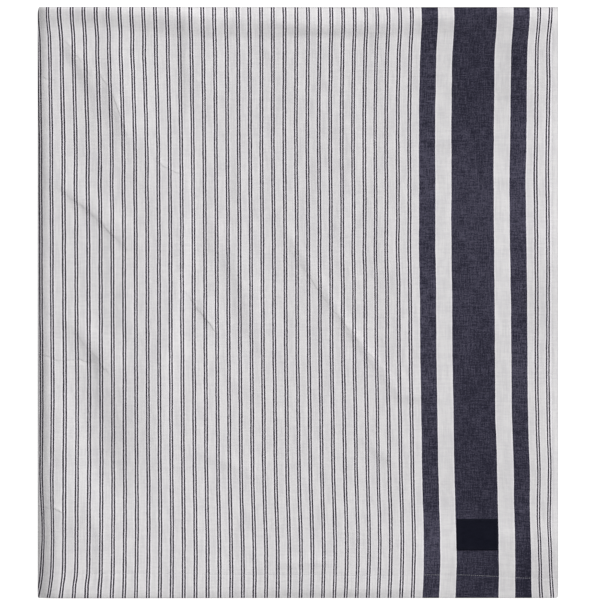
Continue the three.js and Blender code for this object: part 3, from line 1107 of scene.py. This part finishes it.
def striped_cloth():
    material, tree, surface = new_material("striped_cloth")
    place = add_node(tree, "ShaderNodeUVMap", uv_map="cloth").outputs[0]
    parts = add_node(tree, "ShaderNodeSeparateXYZ")
    plug(tree, parts, 0, place)
    across, along = parts.outputs[0], parts.outputs[1]
    noise = {
        row["name"]: uneven(tree, place, row["across"], row["along"], row["detail"], row["seed"])
        for row in CLOTH_NOISES
    }
    for name in ("shade_and_tone", "fine_side", "fine_height"):
        noise[name] = add_node(tree, "ShaderNodeAttribute", attribute_name=name).outputs["Fac"]
    for name in STRIPE_UNEVENNESS:
        noise[name] = work_out(tree, "SUBTRACT", noise[name], NOISE_MEAN)

    wandered = weighted(tree, noise, STRIPE_UNEVENNESS, across)
    off_middle = work_out(tree, "SUBTRACT", wandered, CLOTH_WIDTH * MILLIMETRE / 2)
    off_middle = work_out(tree, "ABSOLUTE", off_middle)
    from_side = work_out(tree, "SUBTRACT", CLOTH_WIDTH * MILLIMETRE / 2, off_middle)
    thin = between_lines = beside = bands = wide = None
    for pairs in (MARGIN_PAIRS, FIELD_PAIRS):
        masks = pair_masks(tree, from_side, pairs)
        thin = either(tree, thin, masks[0])
        between_lines = either(tree, between_lines, masks[1])
        beside = either(tree, beside, masks[2])
    for band in BANDS:
        masks = band_masks(tree, from_side, band)
        bands = either(tree, bands, masks[0])
        beside = either(tree, beside, masks[1])
        if band["name"] == "wide band":
            wide = masks[0]

    yarns = weighted(tree, noise, WHITE_GRAIN, noise["warp_streaks"])
    white = mixed(tree, between(tree, yarns, *WHITE_RANGE), WHITE_YARN_SHADE, WHITE_YARN)
    beside = work_out(tree, "MULTIPLY", beside, BRIGHT_BESIDE_LINES)
    white = mixed(tree, work_out(tree, "MAXIMUM", between_lines, beside), white, BRIGHT_YARN)

    melange = between(tree, weighted(tree, noise, NAVY_GRAIN), *NAVY_RANGE)
    denser = work_out(tree, "MULTIPLY_ADD", wide, WIDE_BAND_LIGHTNESS, 1.0)
    melange = work_out(tree, "MULTIPLY", melange, denser)
    navy = mixed(tree, melange, NAVY_YARN, NAVY_YARN_LIGHT)
    thin = work_out(tree, "MULTIPLY", thin, between(tree, noise["specks"], *LINE_RANGE))
    colour = mixed(tree, bands, mixed(tree, thin, white, LINE_YARN), navy)
    # The tone attribute scales the colour: painted light and shade, with some of the cloth's own uneven
    # tone.
    shaded_and_toned = add_node(tree, "ShaderNodeVectorMath", operation="SCALE")
    plug(tree, shaded_and_toned, 0, colour)
    plug(tree, shaded_and_toned, "Scale", work_out(tree, "ADD", noise["shade_and_tone"], 1.0))
    plug(tree, surface, "Base Color", shaded_and_toned.outputs[0])

    warp_turn = work_out(tree, "MULTIPLY", across, math.pi / WARP_YARN)
    warp_turn = work_out(tree, "MULTIPLY_ADD", noise["shaken"], WARP_SHAKE, warp_turn)
    weft_turn = work_out(tree, "MULTIPLY", along, math.pi / WEFT_YARN)
    weft_turn = work_out(tree, "MULTIPLY_ADD", noise["shaken"], WEFT_SHAKE, weft_turn)
    crossing = work_out(
        tree, "MULTIPLY", work_out(tree, "SINE", warp_turn), work_out(tree, "SINE", weft_turn)
    )
    slubs = work_out(tree, "ADD", noise["warp_streaks"], noise["weft_streaks"])
    weave = work_out(tree, "MULTIPLY_ADD", slubs, SLUB_HEIGHT, crossing)
    surface_bump = bump(tree, weave, WEAVE_DEPTH, WEAVE_STRENGTH)
    surface_bump = bump(
        tree, noise["soft_creases"], SOFT_CREASE_DEPTH, SOFT_CREASE_STRENGTH, surface_bump
    )

    off_crease = work_out(tree, "MULTIPLY_ADD", noise["wander"], FINE_CREASE_WANDER, noise["fine_side"])
    shaded_side = between(tree, off_crease, -FINE_SHADED, 0.0)
    crease_shape = work_out(tree, "MULTIPLY", shaded_side, between(tree, off_crease, FINE_LIT, 0.0))
    along_crease = between(tree, noise["clouds"], *FINE_CREASE_RANGE)
    crease_height = work_out(tree, "MULTIPLY", noise["fine_height"], along_crease)
    fine = work_out(tree, "MULTIPLY", crease_shape, crease_height)
    plug(tree, surface, "Normal", bump(tree, fine, MILLIMETRE, 1.0, surface_bump))
    plug(tree, surface, "Roughness", between(tree, yarns, *ROUGHNESS_RANGE))
    surface.inputs["Specular IOR Level"].default_value = 0.18
    surface.inputs["Sheen Weight"].default_value = 0.06
    surface.inputs["Sheen Roughness"].default_value = 0.5
    return material


tablecloth.data.materials.append(striped_cloth())
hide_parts("tablecloth")
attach(tablecloth, "root")

# The hem stitches. The real hems are held by one row of lockstitch each, in thin white cotton thread,
# and the row shows as a fine light line where it crosses the navy bands.
STITCH_PITCH = 3.0
STITCH_LENGTH = 2.5
STITCH_WIDTH = 0.34
STITCH_HEIGHT = 0.3
STITCH_RISE = 0.06
BEAD_SIDES = 6
BEAD_RINGS = 4
THREAD_WHITE = (0.60, 0.60, 0.63, 1)
THREAD_WHITE_SHADE = (0.42, 0.42, 0.45, 1)
THREAD_TWIST_SCALE = 900.0
THREAD_TWIST_RANGE = (0.35, 0.65)
THREAD_TWIST_DEPTH = 0.0001
THREAD_TWIST_STRENGTH = 0.5
LEAST_STITCH_SHARE = 0.85
LEAST_HEIGHT = 0.02


def sewn_row(line, ups, pitch, length):
    """The middles, lengthwise directions and ways up of the stitches along a line of points."""
    passed = np.concatenate([[0], np.cumsum(np.linalg.norm(np.diff(line, axis=0), axis=1))])
    starts = np.arange(pitch / 2, passed[-1] - length, pitch)

    def along_line(values, distances):
        return np.stack([np.interp(distances, passed, column) for column in values.T], axis=1)

    first, last = along_line(line, starts), along_line(line, starts + length)
    up = along_line(ups, starts + length / 2)
    ahead = last - first
    kept = np.linalg.norm(ahead, axis=1) > LEAST_STITCH_SHARE * length
    ahead = unit(ahead[kept])
    up = unit(up[kept] - ahead * (up[kept] * ahead).sum(axis=1, keepdims=True))
    return (first[kept] + last[kept]) / 2, ahead, up


def stitches(name, rows, length, width, height, rise):
    """One piece of all stitches of some rows, copies of one small bead of thread."""
    bpy.ops.mesh.primitive_uv_sphere_add(segments=BEAD_SIDES, ring_count=BEAD_RINGS, radius=0.5)
    bead = bpy.context.object
    shape = np.array([vertex.co for vertex in bead.data.vertices])
    # Blender lists the faces of a sphere in another order each time, so they are sorted.
    shape_faces = sorted(list(face.vertices) for face in bead.data.polygons)
    bpy.data.objects.remove(bead)
    vertices = []
    for middles, ahead, up in rows:
        aside = np.cross(up, ahead)
        spread = ahead[:, None] * (shape[:, 2] * length)[None, :, None]
        spread = spread + aside[:, None] * (shape[:, 0] * width)[None, :, None]
        spread = spread + up[:, None] * (shape[:, 1] * height + rise)[None, :, None]
        vertices.append((middles[:, None] + spread).reshape(-1, 3))
    vertices = np.concatenate(vertices)
    vertices[:, 2] = np.maximum(vertices[:, 2], LEAST_HEIGHT)
    count = len(vertices) // len(shape)
    starts = range(0, count * len(shape), len(shape))
    faces = [[start + index for index in face] for start in starts for face in shape_faces]
    return mesh_piece(name, vertices, faces)


def thread(name, light, dark):
    """Twisted cotton thread, uneven in colour."""
    material, tree, surface = new_material(name)
    place = add_node(tree, "ShaderNodeTexCoord").outputs["Object"]
    noise = add_node(tree, "ShaderNodeTexNoise")
    plug(tree, noise, "Vector", place)
    plug(tree, noise, "Scale", THREAD_TWIST_SCALE)
    plug(tree, noise, "Detail", 1.0)
    twist = noise.outputs[0]
    share = between(tree, twist, *THREAD_TWIST_RANGE)
    plug(tree, surface, "Base Color", mixed(tree, share, dark, light))
    plug(tree, surface, "Normal", bump(tree, twist, THREAD_TWIST_DEPTH, THREAD_TWIST_STRENGTH))
    surface.inputs["Roughness"].default_value = 0.7
    surface.inputs["Specular IOR Level"].default_value = 0.25
    return material


def at_row(values, row):
    """Values of the cloth's grid along a line between two of its rows."""
    low = int(row)
    return values[low] * (1 - row + low) + values[low + 1] * (row - low)


surface_points = points + normals * outer[..., None]
surface_by_column = surface_points.swapaxes(0, 1)
normals_by_column = normals.swapaxes(0, 1)
sewn_hems = []
for end_place in (END_HEM_WIDTH - SEAM_INSET, CLOTH_LENGTH - END_HEM_WIDTH + SEAM_INSET):
    row = np.interp(end_place, along[:, 0], range(row_count))
    line = at_row(surface_points, row)
    sewn_hems.append(sewn_row(line, at_row(normals, row), STITCH_PITCH, STITCH_LENGTH))
for side_place in (SIDE_SEAM, CLOTH_WIDTH - SIDE_SEAM):
    column = np.interp(side_place, flat_across[0], range(column_count))
    line = at_row(surface_by_column, column)
    sewn_hems.append(sewn_row(line, at_row(normals_by_column, column), STITCH_PITCH, STITCH_LENGTH))
hem_stitches = stitches(
    "hem_stitches", sewn_hems, STITCH_LENGTH, STITCH_WIDTH, STITCH_HEIGHT, STITCH_RISE
)
hem_stitches.data.materials.append(thread("white_thread", THREAD_WHITE, THREAD_WHITE_SHADE))
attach(hem_stitches, "root")

# The label. The real piece is a small flat label of dark woven ribbon, its edges turned under, sewn on
# near the end of the cloth in the middle of the wide band. It is left bare here.
LABEL_THICKNESS = 0.5
LABEL_TURNED_EDGE = 5.0
LABEL_EDGE_EXTRA = 0.14
LABEL_EDGE_SLOPE = 0.5
LABEL_OFF_CLOTH = 0.12
LABEL_SPACING = 1.3
LABEL_MOVED_X = 0.3
LABEL_MOVED_Y = 0.9
LABEL_YARN = (0.0034, 0.0038, 0.0092, 1)
LABEL_YARN_LIGHT = (0.0058, 0.0062, 0.0138, 1)
LABEL_RIB = 0.0007
LABEL_RIB_DEPTH = 0.00006
LABEL_RIB_STRENGTH = 0.5
LABEL_RIB_UNEVENNESS = 1.5
LABEL_FLECK_SHARE = 0.6
LABEL_YARN_RANGE = (0.6, 1.0)
LABEL_ROUGHNESS_RANGE = (0.3, 0.7, 0.5, 0.65)
LABEL_STREAKS = {"across_size": 0.012, "along_size": 0.0010, "detail": 2, "seed": 1}
LABEL_FLECKS = {"across_size": 0.0014, "along_size": 0.0014, "detail": 1, "seed": 2}
LABEL_INNER_STEP = 3
SLOPE_STEP = 0.5

label_low, label_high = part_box("label")
label_x = np.array([label_high.x, label_low.x]) / MILLIMETRE + LABEL_MOVED_X
label_y = np.array([label_low.y, label_high.y]) / MILLIMETRE + LABEL_MOVED_Y
label_columns = round((label_x[0] - label_x[1]) / LABEL_SPACING)
label_rows = round((label_y[1] - label_y[0]) / LABEL_SPACING)
label_y_places = np.linspace(*label_y, label_rows + 1)
label_x_places = np.linspace(*label_x, label_columns + 1)
label_grid = np.meshgrid(label_y_places, label_x_places, indexing="ij")


def cloth_top(x, y):
    return STACK_HEIGHT + stack_swell(x, y) + top_ply_relief(x, y)


def label_sheet(x, y):
    """The label's middle surface over the given places, its ways up and its half thicknesses."""
    from_edge = np.minimum(x - label_x[1], label_x[0] - x)
    from_edge = np.minimum(from_edge, np.minimum(y - label_y[0], label_y[1] - y))
    z = cloth_top(x, y) + LABEL_OFF_CLOTH + LABEL_THICKNESS / 2
    middle = np.stack([x, y, z], axis=-1)
    slope_x = (cloth_top(x + SLOPE_STEP, y) - cloth_top(x - SLOPE_STEP, y)) / (2 * SLOPE_STEP)
    slope_y = (cloth_top(x, y + SLOPE_STEP) - cloth_top(x, y - SLOPE_STEP)) / (2 * SLOPE_STEP)
    up = unit(np.stack([-slope_x, -slope_y, np.ones_like(x)], axis=-1))
    turned_edge = 1 - smooth(from_edge - LABEL_TURNED_EDGE + LABEL_EDGE_SLOPE)
    return middle, up, LABEL_THICKNESS / 2 + LABEL_EDGE_EXTRA * turned_edge


middle, up, half_thickness = label_sheet(label_grid[1], label_grid[0])
label, *_ = thick_cloth(
    "sewn_label", middle, up, half_thickness, np.full_like(half_thickness, LABEL_THICKNESS / 2),
    thinned(label_rows + 1, LABEL_INNER_STEP, []), thinned(label_columns + 1, LABEL_INNER_STEP, [])
)


def ribbon():
    """Dark woven ribbon with fine ribs across it."""
    material, tree, surface = new_material("navy_ribbon")
    place = add_node(tree, "ShaderNodeTexCoord").outputs["Object"]
    parts = add_node(tree, "ShaderNodeSeparateXYZ")
    plug(tree, parts, 0, place)
    streaks = uneven(tree, place, **LABEL_STREAKS)
    flecks = uneven(tree, place, **LABEL_FLECKS)
    cast = work_out(tree, "MULTIPLY_ADD", flecks, LABEL_FLECK_SHARE, streaks)
    yarn = mixed(tree, between(tree, cast, *LABEL_YARN_RANGE), LABEL_YARN, LABEL_YARN_LIGHT)
    plug(tree, surface, "Base Color", yarn)
    rib_turn = work_out(tree, "MULTIPLY", parts.outputs[1], 2 * math.pi / LABEL_RIB)
    rib_turn = work_out(tree, "SINE", rib_turn)
    rib = work_out(tree, "MULTIPLY_ADD", flecks, LABEL_RIB_UNEVENNESS, rib_turn)
    plug(tree, surface, "Normal", bump(tree, rib, LABEL_RIB_DEPTH, LABEL_RIB_STRENGTH))
    plug(tree, surface, "Roughness", between(tree, streaks, *LABEL_ROUGHNESS_RANGE))
    surface.inputs["Specular IOR Level"].default_value = 0.07
    return material


label.data.materials.append(ribbon())
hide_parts("label")
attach(label, "root")

# The label's stitches, one row of small lockstitch in dark thread near all four edges.
LABEL_SEAM_INSET = 1.8
LABEL_STITCH_PITCH = 2.4
LABEL_STITCH_LENGTH = 1.9
LABEL_STITCH_WIDTH = 0.35
LABEL_STITCH_HEIGHT = 0.25
LABEL_STITCH_RISE = 0.03
LABEL_SEAM_POINTS = 30
THREAD_NAVY = (0.009, 0.0095, 0.017, 1)
THREAD_NAVY_SHADE = (0.005, 0.005, 0.010, 1)

seam_x = label_x + np.array([-1, 1]) * LABEL_SEAM_INSET
seam_y = label_y + np.array([1, -1]) * LABEL_SEAM_INSET
corners = [(seam_x[0], seam_y[0]), (seam_x[0], seam_y[1]), (seam_x[1], seam_y[1]), (seam_x[1], seam_y[0])]
label_seams = []
for index, corner in enumerate(corners):
    next_corner = corners[(index + 1) % len(corners)]
    line_x = np.linspace(corner[0], next_corner[0], LABEL_SEAM_POINTS)
    line_y = np.linspace(corner[1], next_corner[1], LABEL_SEAM_POINTS)
    seam_middle, seam_up, seam_half = label_sheet(line_x, line_y)
    seam_line = seam_middle + seam_up * seam_half[:, None]
    label_seams.append(sewn_row(seam_line, seam_up, LABEL_STITCH_PITCH, LABEL_STITCH_LENGTH))
label_stitches = stitches(
    "label_stitches", label_seams, LABEL_STITCH_LENGTH, LABEL_STITCH_WIDTH, LABEL_STITCH_HEIGHT,
    LABEL_STITCH_RISE
)
label_stitches.data.materials.append(thread("navy_thread", THREAD_NAVY, THREAD_NAVY_SHADE))
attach(label_stitches, "root")
